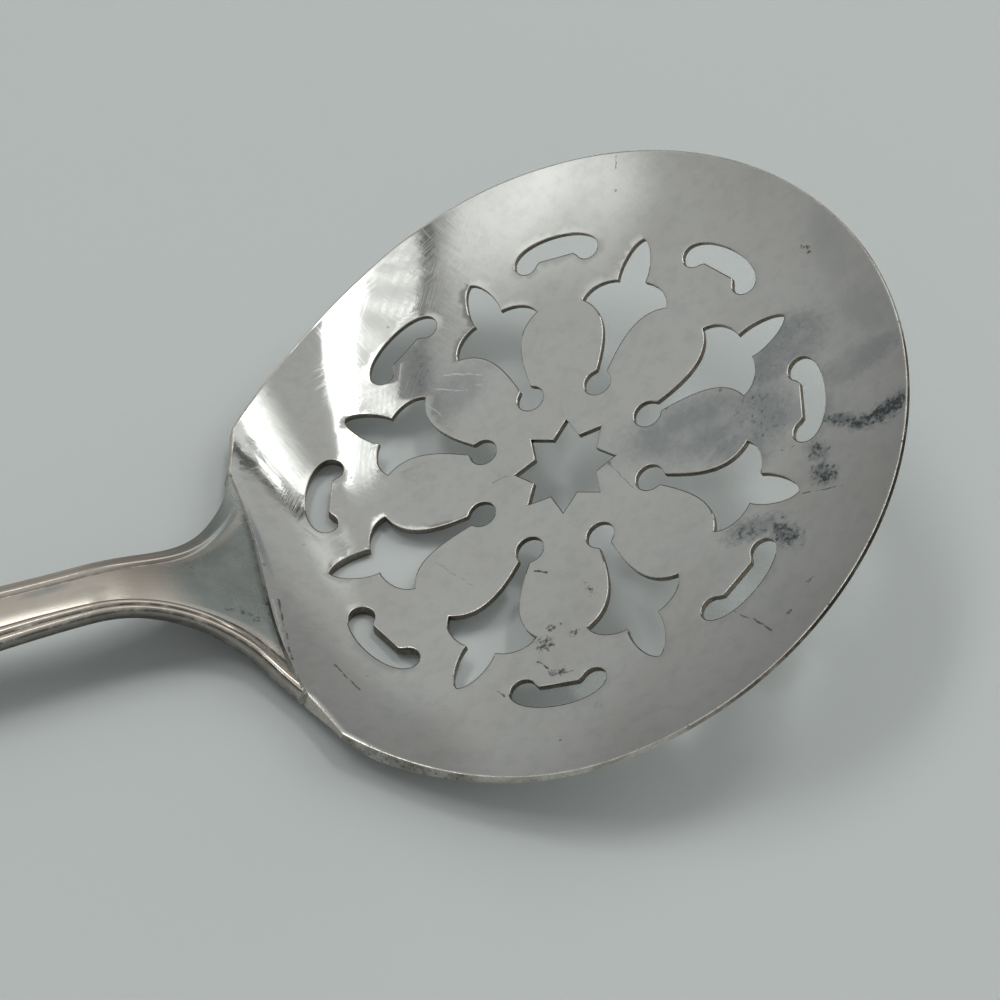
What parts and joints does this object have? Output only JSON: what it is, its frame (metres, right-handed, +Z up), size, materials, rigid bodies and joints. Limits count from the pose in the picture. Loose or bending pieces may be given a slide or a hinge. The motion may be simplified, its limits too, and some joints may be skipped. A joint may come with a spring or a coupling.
{
  "type": "pierced flat server",
  "caption": "Flat serving utensil with a round, shallow dished blade pierced with a star, fleurs and crescents, soldered to an arched handle with a threaded border.",
  "frame": {"origin": "on the table, under the centre of the part's box as it lies face up", "axes": "+X along the handle's axis towards the blade's tip, +Y to the left seen from the handle's end, +Z up from the table"},
  "size_m": [0.2034, 0.0734, 0.0289],
  "materials": {
    "plated_blade": "silver plate, worn to a soft shine, with tarnish and fine scratches",
    "plated_handle": "silver plate, worn to a soft shine, with dark tarnish in the sunk field and on the sides"
  },
  "bodies": {
    "root": {"pierced_blade": "plated_blade", "handle": "plated_handle"}
  },
  "joints": []
}
